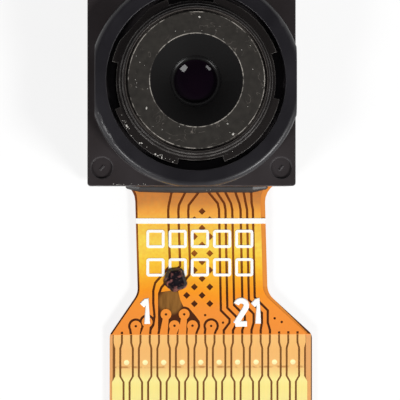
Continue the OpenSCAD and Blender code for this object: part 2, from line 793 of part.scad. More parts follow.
module base_adhesive() {
    color("#d9c9a0") translate([0, 0, adhesive_z]) linear_extrude(adhesive_t) body_square(board_w, edge_r);
}

module base_plate() {
    color("#b9bcc0") linear_extrude(plate_t) body_square(board_w, edge_r);
}

module finger_area() {
    intersection() {
        board_outline();
        below(cover_y - 0.2);
    }
}

module finger_adhesive() {
    color("#d9c9a0") translate([0, 0, adhesive_z]) linear_extrude(adhesive_t) finger_area();
}

module finger_stiffener() {
    color("#8a4a1c") linear_extrude(plate_t) finger_area();
}

lens_holder();
lens_barrel();
front_lens();
aperture_stop();
second_lens();
front_spacer();
third_lens();
rear_spacer();
fourth_lens();
lens_retainer();
ir_filter();
image_sensor();
bond_wires();
chip_capacitors();
holder_glue();
glue_bead();
coverlay();
copper_traces();
contact_fingers();
silkscreen_line();
resin_drop();
flex_base();
bottom_coverlay();
base_adhesive();
base_plate();
finger_adhesive();
finger_stiffener();
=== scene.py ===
import math
import random

import bmesh
import bpy
from mathutils import Matrix, Vector


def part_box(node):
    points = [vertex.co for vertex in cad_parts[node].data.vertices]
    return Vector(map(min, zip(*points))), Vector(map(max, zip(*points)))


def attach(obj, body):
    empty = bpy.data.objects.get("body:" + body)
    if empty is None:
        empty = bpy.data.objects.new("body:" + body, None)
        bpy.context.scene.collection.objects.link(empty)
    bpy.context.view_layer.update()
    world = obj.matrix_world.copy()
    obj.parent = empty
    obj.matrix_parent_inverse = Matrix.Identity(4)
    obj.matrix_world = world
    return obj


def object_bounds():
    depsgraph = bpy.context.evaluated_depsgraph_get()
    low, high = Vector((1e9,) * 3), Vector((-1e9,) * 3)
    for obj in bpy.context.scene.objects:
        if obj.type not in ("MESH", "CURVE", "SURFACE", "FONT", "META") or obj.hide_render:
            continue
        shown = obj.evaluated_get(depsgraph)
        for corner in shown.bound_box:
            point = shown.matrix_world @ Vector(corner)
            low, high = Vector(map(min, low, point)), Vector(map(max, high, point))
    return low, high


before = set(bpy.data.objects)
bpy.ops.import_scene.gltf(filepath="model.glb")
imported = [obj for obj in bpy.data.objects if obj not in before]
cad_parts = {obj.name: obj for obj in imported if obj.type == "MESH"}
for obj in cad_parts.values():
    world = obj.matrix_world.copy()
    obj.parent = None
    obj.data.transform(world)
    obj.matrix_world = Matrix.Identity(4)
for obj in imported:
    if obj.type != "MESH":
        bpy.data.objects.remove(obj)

cad_low, cad_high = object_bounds()

# ---------------------------------------------------------------------------------------------------------------
# Camera: a long lens straight above the module, a little to its tail side, leaning three degrees across it.
MM = 0.001
camera_data = bpy.data.cameras.new("camera")
camera_data.lens = 193.9
camera_data.sensor_width = 36.0
camera_data.clip_start, camera_data.clip_end = 0.002, 5.0
camera = bpy.data.objects.new("camera", camera_data)
camera.location = (-3.36 * MM, -3.69 * MM, 70.0 * MM)
camera.rotation_euler = (0.0, math.radians(-3.0), 0.0)
bpy.context.scene.collection.objects.link(camera)
bpy.context.scene.camera = camera
bpy.context.scene.view_settings.view_transform = "Standard"


# ---------------------------------------------------------------------------------------------------------------
# Floor and room: a wide sheet of white studio card under the module, in a pale room with a darker ceiling.
def linear(code):
    """An sRGB hex colour as the linear colour that a socket holds."""
    parts = [int(code[i:i + 2], 16) / 255 for i in (1, 3, 5)]
    return [c / 12.92 if c <= 0.04045 else ((c + 0.055) / 1.055) ** 2.4 for c in parts] + [1.0]


def add(owner, kind, settings=None, sockets=None):
    """Adds one node to a material, world or node tree. A socket given another node's output is linked."""
    tree = getattr(owner, "node_tree", None) or owner
    made = tree.nodes.new(kind)
    for name, value in (settings or {}).items():
        setattr(made, name, value)
    for name, value in (sockets or {}).items():
        if isinstance(value, bpy.types.NodeSocket):
            tree.links.new(value, made.inputs[name])
        else:
            made.inputs[name].default_value = value
    return made


def wire(output, socket):
    """Links an output to a socket of the same tree."""
    socket.id_data.links.new(output, socket)


def finish(name, **surface):
    """A new material with its one-value sockets set: the material, its shader, and the place in mm."""
    made = bpy.data.materials.new(name)
    made.use_nodes = True
    shader = made.node_tree.nodes["Principled BSDF"]
    for socket, value in surface.items():
        shader.inputs[socket.replace("_", " ")].default_value = value
    spot = add(made, "ShaderNodeTexCoord").outputs["Object"]
    place = add(made, "ShaderNodeVectorMath", {"operation": "SCALE"}, {0: spot, "Scale": 1000.0}).outputs[0]
    return made, shader, place


card, card_shader, card_place = finish("white studio card", Roughness=0.9, Specular_IOR_Level=0.1)
card_fibre = add(card, "ShaderNodeTexNoise", None, {"Vector": card_place, "Scale": 0.4, "Detail": 3.0})
card_tone = add(card, "ShaderNodeMix", {"data_type": "RGBA"}, {0: card_fibre.outputs["Fac"], 6: linear("#fdfdfc"),
                                                              7: linear("#ffffff")})
wire(card_tone.outputs[2], card_shader.inputs["Base Color"])
# Seen straight, in a reflection or through glass, the card is lifted towards plain white. It keeps a fifth of the
# module's shadow.
seen = add(card, "ShaderNodeLightPath").outputs
seen_or_glossy = add(card, "ShaderNodeMath", {"operation": "MAXIMUM"},
                     {0: seen["Is Camera Ray"], 1: seen["Is Glossy Ray"]}).outputs[0]
lifted = add(card, "ShaderNodeMath", {"operation": "MAXIMUM"},
             {0: seen_or_glossy, 1: seen["Is Transmission Ray"]}).outputs[0]
lift = add(card, "ShaderNodeMath", {"operation": "MULTIPLY"}, {0: lifted, 1: 0.8}).outputs[0]
glow = add(card, "ShaderNodeEmission", None, {"Color": linear("#ffffff"), "Strength": 1.0}).outputs[0]
card_mix = add(card, "ShaderNodeMixShader", None, {0: lift, 1: card_shader.outputs[0], 2: glow}).outputs[0]
wire(card_mix, card.node_tree.nodes["Material Output"].inputs["Surface"])

floor_radius, floor_gap = 0.9, 0.02 * MM
floor_mesh = bmesh.new()
bmesh.ops.create_circle(floor_mesh, cap_ends=True, segments=96, radius=floor_radius)
floor_data = bpy.data.meshes.new("floor")
floor_mesh.to_mesh(floor_data)
floor_mesh.free()
floor_data.transform(Matrix.Translation((0.0, 0.0, cad_low.z - floor_gap)))
floor_data.materials.append(card)
floor = bpy.data.objects.new("floor", floor_data)
bpy.context.scene.collection.objects.link(floor)

# The room is white at the sides and dark overhead, so that flat black faces stay black
world = bpy.data.worlds.new("room")
bpy.context.scene.world = world
world.use_nodes = True
room = world.node_tree.nodes["Background"]
sky_way = add(world, "ShaderNodeTexCoord").outputs["Generated"]
sky_height = add(world, "ShaderNodeSeparateXYZ", None, {0: sky_way}).outputs["Z"]
sky_ramp = add(world, "ShaderNodeValToRGB", None, {"Fac": sky_height})
sky_ramp.color_ramp.elements[0].color = linear("#ffffff")
sky_ramp.color_ramp.elements[0].position = 0.3
sky_ramp.color_ramp.elements[1].color = linear("#3c3b40")
sky_ramp.color_ramp.elements[1].position = 0.72
wire(sky_ramp.outputs["Color"], room.inputs["Color"])
room.inputs["Strength"].default_value = 1.0


# ---------------------------------------------------------------------------------------------------------------
# Lamps: two soft boxes at the tail side, the right one the stronger.
def lamp(name, azimuth, elevation, distance, width, height, power):
    """A soft box that faces the middle of the module."""
    middle = Vector((0.0, -3.0 * MM, 2.0 * MM))
    a, e = math.radians(azimuth), math.radians(elevation)
    away = Vector((math.cos(a) * math.cos(e), math.sin(a) * math.cos(e), math.sin(e)))
    data = bpy.data.lights.new(name, "AREA")
    data.shape, data.size, data.size_y, data.energy = "RECTANGLE", width, height, power
    made = bpy.data.objects.new(name, data)
    made.location = middle + away * distance
    made.rotation_euler = (-away).to_track_quat("-Z", "Y").to_euler()
    bpy.context.scene.collection.objects.link(made)


lamp("right soft box", 318.0, 42.0, 0.25, 0.07, 0.05, 0.47)
lamp("left soft box", 225.0, 42.0, 0.25, 0.06, 0.05, 0.28)


# ---------------------------------------------------------------------------------------------------------------
# Base plate: a square of etched stainless steel sheet that keeps the camera end of the circuit flat. Rolling has
# left fine lines along it, and it is bare metal with a dull sheen.
def dress(node_name, material):
    """Puts one material on every slot of a carried-over node."""
    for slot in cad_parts[node_name].material_slots:
        slot.material = material


steel, shader, place = finish("rolled stainless steel", Metallic=1.0)
# The real lines are about 0.01 mm apart and are drawn at 0.04 mm, so that they show
lines = add(steel, "ShaderNodeMapping", None, {0: place, "Scale": (25.0, 0.8, 1.0)})
rolled = add(steel, "ShaderNodeTexNoise", None, {"Vector": lines.outputs[0], "Scale": 1.0, "Detail": 4.0})
grain = rolled.outputs["Fac"]
wire(add(steel, "ShaderNodeMix", {"data_type": "RGBA"}, {0: grain, 6: linear("#a8a49c"), 7: linear("#cbc7bf")})
     .outputs[2], shader.inputs["Base Color"])
wire(add(steel, "ShaderNodeMapRange", None, {0: grain, 3: 0.26, 4: 0.44}).outputs[0], shader.inputs["Roughness"])
wire(add(steel, "ShaderNodeBump", None, {"Height": grain, "Distance": 0.002 * MM, "Strength": 0.5}).outputs[0],
     shader.inputs["Normal"])
dress("base_plate", steel)

# ---------------------------------------------------------------------------------------------------------------
# Adhesive films: two cuts of heat-cured sheet adhesive, one under the camera end and one under the fingers. They
# are dull and straw-coloured, and only their edges show.
adhesive, shader, place = finish("cured adhesive film", Roughness=0.62)
haze = add(adhesive, "ShaderNodeTexNoise", None, {"Vector": place, "Scale": 6.0, "Detail": 3.0}).outputs["Fac"]
wire(add(adhesive, "ShaderNodeMix", {"data_type": "RGBA"}, {0: haze, 6: linear("#8d6c3c"), 7: linear("#b08b52")})
     .outputs[2], shader.inputs["Base Color"])
dress("base_adhesive", adhesive)
dress("finger_adhesive", adhesive)

# ---------------------------------------------------------------------------------------------------------------
# Bottom coverlay, base film and stiffener: polyimide sheet, cast and punched. It is amber, clear enough to look
# deep, and has a soft gloss with faint casting streaks along the tail.
polyimide, shader, place = finish("amber polyimide film", Roughness=0.34, Coat_Weight=0.35, Coat_Roughness=0.14)
# Casting streaks, 0.2 mm across and about 1.4 mm long
cast = add(polyimide, "ShaderNodeMapping", None, {0: place, "Scale": (5.0, 0.7, 5.0)})
streak = add(polyimide, "ShaderNodeTexNoise", None, {"Vector": cast.outputs[0], "Scale": 1.0, "Detail": 4.0})
wire(add(polyimide, "ShaderNodeMix", {"data_type": "RGBA"}, {0: streak.outputs["Fac"], 6: linear("#a85c16"),
                                                             7: linear("#d58a2c")}).outputs[2],
     shader.inputs["Base Color"])
wire(add(polyimide, "ShaderNodeBump", None, {"Height": streak.outputs["Fac"], "Distance": 0.004 * MM,
                                             "Strength": 0.3}).outputs[0], shader.inputs["Normal"])
dress("bottom_coverlay", polyimide)

fingers_left, fingers_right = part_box("contact_fingers")[0].x / MM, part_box("contact_fingers")[1].x / MM
base_left, base_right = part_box("flex_base")[0].x / MM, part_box("flex_base")[1].x / MM
base_film, shader, place = finish("bare base polyimide", Roughness=0.4, Coat_Weight=0.2, Coat_Roughness=0.2)
mottle = add(base_film, "ShaderNodeTexNoise", None, {"Vector": place, "Scale": 3.0, "Detail": 4.0}).outputs["Fac"]
# Between the fingers the film is dark brown: partly its own colour, partly painted shade in the narrow gaps between
# the pads
bare = add(base_film, "ShaderNodeMix", {"data_type": "RGBA"},
           {0: mottle, 6: linear("#6a4014"), 7: linear("#8e5a22")})
# Outside the first and last fingers the film is pale amber, with a dark line along its punched edge
sideways = add(base_film, "ShaderNodeSeparateXYZ", None, {0: place}).outputs["X"]
right_of = add(base_film, "ShaderNodeMath", {"operation": "GREATER_THAN"}, {0: sideways, 1: fingers_right - 0.04})
left_of = add(base_film, "ShaderNodeMath", {"operation": "LESS_THAN"}, {0: sideways, 1: fingers_left + 0.02})
outside = add(base_film, "ShaderNodeMath", {"operation": "MAXIMUM"},
              {0: right_of.outputs[0], 1: left_of.outputs[0]}).outputs[0]
pale = add(base_film, "ShaderNodeMix", {"data_type": "RGBA"},
           {0: outside, 6: bare.outputs[2], 7: linear("#e2a262")})
from_middle = add(base_film, "ShaderNodeMath", {"operation": "SUBTRACT"},
                  {0: sideways, 1: (base_left + base_right) / 2}).outputs[0]
reach = add(base_film, "ShaderNodeMath", {"operation": "ABSOLUTE"}, {0: from_middle}).outputs[0]
punched = add(base_film, "ShaderNodeMath", {"operation": "GREATER_THAN"},
              {0: reach, 1: (base_right - base_left) / 2 - 0.035}).outputs[0]
wire(add(base_film, "ShaderNodeMix", {"data_type": "RGBA"}, {0: punched, 6: pale.outputs[2], 7: linear("#5a3714")})
     .outputs[2], shader.inputs["Base Color"])
dress("flex_base", base_film)

stiff_film, shader, place = finish("stiffener polyimide", Roughness=0.42, Coat_Weight=0.25, Coat_Roughness=0.2)
mottle = add(stiff_film, "ShaderNodeTexNoise", None, {"Vector": place, "Scale": 2.0, "Detail": 4.0}).outputs["Fac"]
wire(add(stiff_film, "ShaderNodeMix", {"data_type": "RGBA"},
         {0: mottle, 6: linear("#8c4d16"), 7: linear("#b56c22")}).outputs[2], shader.inputs["Base Color"])
dress("finger_stiffener", stiff_film)

# ---------------------------------------------------------------------------------------------------------------
# Copper pattern: rolled copper foil, etched into lines, ground areas and round pads. It lies under the coverlay,
# and only its cut ends meet the air.
copper, shader, place = finish("rolled copper foil", Metallic=1.0, Roughness=0.3)
foil = add(copper, "ShaderNodeTexNoise", None, {"Vector": place, "Scale": 8.0, "Detail": 4.0}).outputs["Fac"]
wire(add(copper, "ShaderNodeMix", {"data_type": "RGBA"}, {0: foil, 6: linear("#c8784a"), 7: linear("#eeb07c")})
     .outputs[2], shader.inputs["Base Color"])
dress("copper_traces", copper)

# ---------------------------------------------------------------------------------------------------------------
# Coverlay: a clear amber polyimide film laminated over the copper. Where copper lies under it, it stands higher and
# is orange, with a painted reflection band of yellow across the neck and painted shade next to the holder; it sinks
# into the etched lines and is dark brown there, with nothing bright behind.
film_low, film_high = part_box("coverlay")
film_top = film_high.z / MM
channel_depth = 0.018
neck_edge, neck_lean = 2.08, 0.03
flare_top, fillet_end = -6.5, -6.9
border_w, cut_w = 0.28, 0.07
window_x, window_y, window_in, window_out = -0.66, -6.98, 0.3, 0.46
tail_start, tail_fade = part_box("lens_holder")[0].y / MM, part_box("contact_fingers")[1].y / MM

coverlay, shader, place = finish("coverlay over copper", Roughness=0.52, Specular_IOR_Level=0.15, Coat_Weight=0.03,
                                 Coat_Roughness=0.2)
axes = add(coverlay, "ShaderNodeSeparateXYZ", None, {0: place}).outputs
raised = add(coverlay, "ShaderNodeMapRange", {"interpolation_type": "SMOOTHSTEP"},
             {0: axes["Z"], 1: film_top - channel_depth + 0.002, 2: film_top - 0.002}).outputs[0]
along = add(coverlay, "ShaderNodeMapRange", None, {0: axes["Y"], 1: tail_fade, 2: tail_start}).outputs[0]
cloud = add(coverlay, "ShaderNodeTexNoise", None, {"Vector": place, "Scale": 1.1, "Detail": 3.0}).outputs["Fac"]
drift = add(coverlay, "ShaderNodeMath", {"operation": "MULTIPLY_ADD"}, {0: cloud, 1: 0.14, 2: -0.07}).outputs[0]
shifted = add(coverlay, "ShaderNodeMath", {"operation": "ADD"}, {0: along, 1: drift}).outputs[0]
# The ramp along the tail is painted light: a yellow painted reflection across the neck, and painted shade next to
# the holder
painted_light_tint = add(coverlay, "ShaderNodeValToRGB", None, {"Fac": shifted})
painted_light_stops = [(0.0, "#ee8f3a"), (0.17, "#f39236"), (0.28, "#f9991e"), (0.37, "#fab02a"), (0.48, "#fbcd3a"),
              (0.62, "#fbdd58"), (0.75, "#f9c64e"), (0.82, "#f5ac48"), (0.9, "#cc8642"), (1.0, "#ba743a")]
for stop, (position, code) in enumerate(painted_light_stops):
    element = painted_light_tint.color_ramp.elements[stop] if stop < 2 else painted_light_tint.color_ramp.elements.new(position)
    element.position, element.color = position, linear(code)
# The lamination leaves flecks of about 0.1 mm in the film
flecks = add(coverlay, "ShaderNodeTexNoise", None, {"Vector": place, "Scale": 9.0, "Detail": 4.0}).outputs["Fac"]
patchy = add(coverlay, "ShaderNodeMapRange", None, {0: flecks, 1: 0.35, 2: 0.75, 3: 0.0, 4: 0.3}).outputs[0]
bright = add(coverlay, "ShaderNodeMix", {"data_type": "RGBA"}, {0: patchy, 6: painted_light_tint.outputs["Color"],
                                                                7: linear("#f08a2c")}).outputs[2]
# The window in the copper is wider than a line, so the bare film in it looks olive, with streaks
window_way = add(coverlay, "ShaderNodeMapping", None, {0: place, "Location": (-window_x, -window_y, 0.0)})
window_far = add(coverlay, "ShaderNodeVectorMath", {"operation": "LENGTH"},
                 {0: add(coverlay, "ShaderNodeVectorMath", {"operation": "MULTIPLY"},
                         {0: window_way.outputs[0], 1: (1.0, 0.95, 0.0)}).outputs[0]}).outputs["Value"]
window = add(coverlay, "ShaderNodeMapRange", {"interpolation_type": "SMOOTHSTEP"},
             {0: window_far, 1: window_in, 2: window_out, 3: 1.0, 4: 0.0}).outputs[0]
fibres_way = add(coverlay, "ShaderNodeMapping", None, {0: place, "Scale": (9.0, 1.3, 1.0)})
fibres = add(coverlay, "ShaderNodeTexNoise", None, {"Vector": fibres_way.outputs[0], "Scale": 1.0, "Detail": 3.0})
olive = add(coverlay, "ShaderNodeMix", {"data_type": "RGBA"}, {0: fibres.outputs["Fac"], 6: linear("#4f2e0c"),
                                                               7: linear("#a87434")}).outputs[2]
# The lines are the film's own dark brown beside the holder and on the flare, and the painted reflection across the
# neck lightens them there to amber. The clear edge of the film along the neck, where no copper lies under it, is
# light amber as well.
gap_brown_and_sheen = add(coverlay, "ShaderNodeValToRGB", None, {"Fac": along})
for stop, (position, code) in enumerate([(0.3, "#4a2208"), (0.6, "#a05a1a"), (0.82, "#6e3610")]):
    element = gap_brown_and_sheen.color_ramp.elements[stop] if stop < 2 else gap_brown_and_sheen.color_ramp.elements.new(position)
    element.position, element.color = position, linear(code)
across = add(coverlay, "ShaderNodeMath", {"operation": "MULTIPLY_ADD"},
             {0: axes["Y"], 1: neck_lean, 2: axes["X"]}).outputs[0]
film_edge = add(coverlay, "ShaderNodeMapRange", None, {0: across, 1: neck_edge, 2: neck_edge + 0.03}).outputs[0]
above_flare = add(coverlay, "ShaderNodeMath", {"operation": "GREATER_THAN"},
                  {0: axes["Y"], 1: flare_top}).outputs[0]
clear_edge = add(coverlay, "ShaderNodeMath", {"operation": "MULTIPLY"}, {0: film_edge, 1: above_flare}).outputs[0]
lined = add(coverlay, "ShaderNodeMix", {"data_type": "RGBA"}, {0: clear_edge, 6: gap_brown_and_sheen.outputs["Color"],
                                                               7: linear("#e08c3a")}).outputs[2]
# The flare's slanted right edge has the same clear border, with a thin dark line along its cut that is painted
# shade of the film's cut edge
slant = add(coverlay, "ShaderNodeMath", {"operation": "ADD"}, {0: axes["X"], 1: axes["Y"]}).outputs[0]
slant_edge = film_high.x / MM + film_low.y / MM
in_flare = add(coverlay, "ShaderNodeMath", {"operation": "LESS_THAN"}, {0: axes["Y"], 1: flare_top}).outputs[0]
past_fillet = add(coverlay, "ShaderNodeMath", {"operation": "LESS_THAN"}, {0: axes["Y"], 1: fillet_end}).outputs[0]
near_cut = add(coverlay, "ShaderNodeMath", {"operation": "GREATER_THAN"},
               {0: slant, 1: slant_edge - border_w}).outputs[0]
at_cut = add(coverlay, "ShaderNodeMath", {"operation": "GREATER_THAN"},
             {0: slant, 1: slant_edge - cut_w}).outputs[0]
border = add(coverlay, "ShaderNodeMath", {"operation": "MULTIPLY"}, {0: near_cut, 1: in_flare}).outputs[0]
cut_line = add(coverlay, "ShaderNodeMath", {"operation": "MULTIPLY"}, {0: at_cut, 1: past_fillet}).outputs[0]
bordered = add(coverlay, "ShaderNodeMix", {"data_type": "RGBA"},
               {0: border, 6: lined, 7: linear("#d98430")}).outputs[2]
cut = add(coverlay, "ShaderNodeMix", {"data_type": "RGBA"},
          {0: cut_line, 6: bordered, 7: linear("#4a2408")}).outputs[2]
sunk = add(coverlay, "ShaderNodeMix", {"data_type": "RGBA"}, {0: window, 6: cut, 7: olive}).outputs[2]
wire(add(coverlay, "ShaderNodeMix", {"data_type": "RGBA"}, {0: raised, 6: sunk, 7: bright}).outputs[2],
     shader.inputs["Base Color"])
wire(add(coverlay, "ShaderNodeMath", {"operation": "MULTIPLY"}, {0: raised, 1: 0.1}).outputs[0],
     shader.inputs["Metallic"])
wire(add(coverlay, "ShaderNodeBump", None, {"Height": flecks, "Distance": 0.004 * MM, "Strength": 0.35}).outputs[0],
     shader.inputs["Normal"])
dress("coverlay", coverlay)

# ---------------------------------------------------------------------------------------------------------------
# Contact fingers: copper pads plated with nickel and a thin layer of soft gold. The plating is satin and scuffed
# along the way that the connector slides, with bands of painted reflection across it, palest towards the tips. The
# gold is so thin and so softly worn that it shines more like a pale satin than like a mirror, so its metallic value
# is low.
gold, shader, place = finish("satin gold plating", Metallic=0.12, Specular_IOR_Level=0.2)
axes = add(gold, "ShaderNodeSeparateXYZ", None, {0: place}).outputs
finger_low, finger_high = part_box("contact_fingers")
along = add(gold, "ShaderNodeMapRange", None,
            {0: axes["Y"], 1: finger_low.y / MM, 2: finger_high.y / MM}).outputs[0]
# The ramp along the fingers is a painted reflection: pale yellow and more golden bands across them
painted_light_tint = add(gold, "ShaderNodeValToRGB", None, {"Fac": along})
painted_light_stops = [(0.0, "#f6e79a"), (0.32, "#fbe98e"), (0.42, "#fdee98"), (0.5, "#fad888"), (0.62, "#f8bf74"),
              (0.8, "#f9bd70"), (1.0, "#fcc678")]
for stop, (position, code) in enumerate(painted_light_stops):
    element = painted_light_tint.color_ramp.elements[stop] if stop < 2 else painted_light_tint.color_ramp.elements.new(position)
    element.position, element.color = position, linear(code)
# The real scuffs are hair-fine, and are drawn 0.05 mm apart and 0.8 mm long, so that they show
scuff_way = add(gold, "ShaderNodeMapping", None, {0: place, "Scale": (22.0, 1.2, 1.0)})
scuff = add(gold, "ShaderNodeTexNoise", None, {"Vector": scuff_way.outputs[0], "Scale": 1.0, "Detail": 4.0})
plated = add(gold, "ShaderNodeMix", {"data_type": "RGBA", "blend_type": "MULTIPLY"},
             {0: 0.1, 6: painted_light_tint.outputs["Color"], 7: scuff.outputs["Color"]}).outputs[2]
# The contacts of a connector have pressed a dimple into each near pad. The dimple is painted pale as a painted
# highlight, and a broken dark band just below it is painted shade
pad_top = finger_high.z / MM
dimple_highlight = add(gold, "ShaderNodeMapRange", None,
              {0: axes["Z"], 1: pad_top - 0.0005, 2: pad_top - 0.003, 3: 0.0, 4: 1.0}).outputs[0]
dimple_line, shade_below_dimple = finger_high.y / MM - 0.9, 0.15
below = add(gold, "ShaderNodeMath", {"operation": "SUBTRACT"},
            {0: axes["Y"], 1: dimple_line - shade_below_dimple}).outputs[0]
aside = add(gold, "ShaderNodeMath", {"operation": "ABSOLUTE"}, {0: below}).outputs[0]
shade_band = add(gold, "ShaderNodeMapRange", None, {0: aside, 1: 0.012, 2: 0.05, 3: 0.75, 4: 0.0}).outputs[0]
shade_noise = add(gold, "ShaderNodeTexNoise", None, {"Vector": place, "Scale": 3.5, "Detail": 3.0}).outputs["Fac"]
shade_breakup = add(gold, "ShaderNodeMapRange", None, {0: shade_noise, 1: 0.4, 2: 0.56}).outputs[0]
dimple_shade = add(gold, "ShaderNodeMath", {"operation": "MULTIPLY"}, {0: shade_band, 1: shade_breakup}).outputs[0]
with_dimple_shade = add(gold, "ShaderNodeMix", {"data_type": "RGBA"}, {0: dimple_shade, 6: plated, 7: linear("#b06c34")}).outputs[2]
wire(add(gold, "ShaderNodeMix", {"data_type": "RGBA"}, {0: dimple_highlight, 6: with_dimple_shade, 7: linear("#fff2b4")}).outputs[2],
     shader.inputs["Base Color"])
wire(add(gold, "ShaderNodeMapRange", None, {0: scuff.outputs["Fac"], 3: 0.42, 4: 0.58}).outputs[0],
     shader.inputs["Roughness"])
wire(add(gold, "ShaderNodeBump", None, {"Height": scuff.outputs["Fac"], "Distance": 0.002 * MM, "Strength": 0.4})
     .outputs[0], shader.inputs["Normal"])
dress("contact_fingers", gold)

# ---------------------------------------------------------------------------------------------------------------
# Sensor, its bond wires and the small capacitors beside it: polished silicon, drawn gold wire and fired ceramic.
silicon, shader, place = finish("polished silicon", Metallic=0.4)
patchy_sheen = add(silicon, "ShaderNodeTexNoise", None, {"Vector": place, "Scale": 1.2, "Detail": 2.0})
sheen_patches = patchy_sheen.outputs["Fac"]
wire(add(silicon, "ShaderNodeMix", {"data_type": "RGBA"},
         {0: sheen_patches, 6: linear("#2c3b3a"), 7: linear("#4a3c52")}).outputs[2], shader.inputs["Base Color"])
wire(add(silicon, "ShaderNodeMapRange", None, {0: sheen_patches, 3: 0.1, 4: 0.22}).outputs[0],
     shader.inputs["Roughness"])
dress("image_sensor", silicon)

wire_gold, shader, place = finish("drawn gold wire", Metallic=1.0, Roughness=0.2)
drawn = add(wire_gold, "ShaderNodeTexNoise", None, {"Vector": place, "Scale": 20.0}).outputs["Fac"]
wire(add(wire_gold, "ShaderNodeMix", {"data_type": "RGBA"}, {0: drawn, 6: linear("#d8a84e"), 7: linear("#f4cf7c")})
     .outputs[2], shader.inputs["Base Color"])
dress("bond_wires", wire_gold)

ceramic, shader, place = finish("capacitor ceramic", Roughness=0.45)
speckle = add(ceramic, "ShaderNodeTexNoise", None, {"Vector": place, "Scale": 14.0, "Detail": 3.0}).outputs["Fac"]
wire(add(ceramic, "ShaderNodeMix", {"data_type": "RGBA"}, {0: speckle, 6: linear("#8a6a48"), 7: linear("#a98a64")})
     .outputs[2], shader.inputs["Base Color"])
dress("chip_capacitors", ceramic)

# ---------------------------------------------------------------------------------------------------------------
# Infrared cut filter: a square of thin glass with a coating that looks faintly pink.
filter_glass, shader, place = finish("coated filter glass", Roughness=0.03, Transmission_Weight=0.8)
tinge = add(filter_glass, "ShaderNodeTexNoise", None, {"Vector": place, "Scale": 0.5}).outputs["Fac"]
wire(add(filter_glass, "ShaderNodeMix", {"data_type": "RGBA"},
         {0: tinge, 6: linear("#d8f0e8"), 7: linear("#ecd8e4")}).outputs[2], shader.inputs["Base Color"])
dress("ir_filter", filter_glass)

# ---------------------------------------------------------------------------------------------------------------
# Lens holder: one moulding in black glass-filled plastic, satin, with a fine moulded grain. Its edges are a little
# rounded and catch the light as thin lines, and they are painted lighter as well, a painted highlight broken up by
# a noise.
def rounded_edges(material, radius_mm):
    """The surface direction with every edge softened, as a moulding has it."""
    return add(material, "ShaderNodeBevel", {"samples": 6}, {"Radius": radius_mm * MM}).outputs[0]


def painted_edge_highlight(material, softened, patches, strongest):
    """How strongly an edge is painted light as a highlight: 0 on a flat, up to strongest on an edge, and broken up
    by a noise.
    """
    flat_way = add(material, "ShaderNodeNewGeometry").outputs["Normal"]
    turned_by = add(material, "ShaderNodeVectorMath", {"operation": "DOT_PRODUCT"},
                    {0: softened, 1: flat_way}).outputs["Value"]
    edge_lit = add(material, "ShaderNodeMapRange", None,
                 {0: turned_by, 1: 0.97, 2: 0.78, 3: 0.0, 4: strongest}).outputs[0]
    broken_up = add(material, "ShaderNodeMapRange", None,
                    {0: patches, 1: 0.38, 2: 0.62, 3: 0.25, 4: 1.0}).outputs[0]
    return add(material, "ShaderNodeMath", {"operation": "MULTIPLY"}, {0: edge_lit, 1: broken_up}).outputs[0]


black, shader, place = finish("satin black moulding", Specular_IOR_Level=0.3, Coat_Weight=0.22, Coat_Roughness=0.24)
# The moulded grain is about 0.04 mm, and the smears are a millimetre or two long
grit = add(black, "ShaderNodeTexNoise", None, {"Vector": place, "Scale": 24.0, "Detail": 5.0}).outputs["Fac"]
smear = add(black, "ShaderNodeTexNoise", None, {"Vector": place, "Scale": 0.7, "Detail": 4.0}).outputs["Fac"]
soft_edge = rounded_edges(black, 0.05)
# The edges are painted lighter: a painted highlight, broken up by a noise
holder_highlight_breakup = add(black, "ShaderNodeTexNoise", None, {"Vector": place, "Scale": 2.2, "Detail": 3.0}).outputs["Fac"]
black_edge_highlight = add(black, "ShaderNodeMix", {"data_type": "RGBA"}, {0: painted_edge_highlight(black, soft_edge, holder_highlight_breakup, 0.7),
                                                                 7: linear("#5c595c")})
face_tone = add(black, "ShaderNodeMix", {"data_type": "RGBA"},
                {0: smear, 6: linear("#25201f"), 7: linear("#322d2f")})
turret_tone = add(black, "ShaderNodeMix", {"data_type": "RGBA"}, {0: smear, 6: linear("#121114"),
                                                                  7: linear("#1d1b20")})
# The turret has been wiped clean and looks deeper black than the dusty face round it
up = add(black, "ShaderNodeSeparateXYZ", None, {0: place}).outputs["Z"]
wiped = add(black, "ShaderNodeMapRange", None, {0: up, 1: 2.95, 2: 3.45}).outputs[0]
wire(add(black, "ShaderNodeMix", {"data_type": "RGBA"},
         {0: wiped, 6: face_tone.outputs[2], 7: turret_tone.outputs[2]}).outputs[2], black_edge_highlight.inputs[6])
wire(black_edge_highlight.outputs[2], shader.inputs["Base Color"])
wire(add(black, "ShaderNodeMapRange", None, {0: smear, 1: 0.3, 2: 0.7, 3: 0.34, 4: 0.48}).outputs[0],
     shader.inputs["Roughness"])
wire(add(black, "ShaderNodeBump", None, {"Height": grit, "Distance": 0.003 * MM, "Strength": 0.25,
                                         "Normal": soft_edge}).outputs[0], shader.inputs["Normal"])
dress("lens_holder", black)

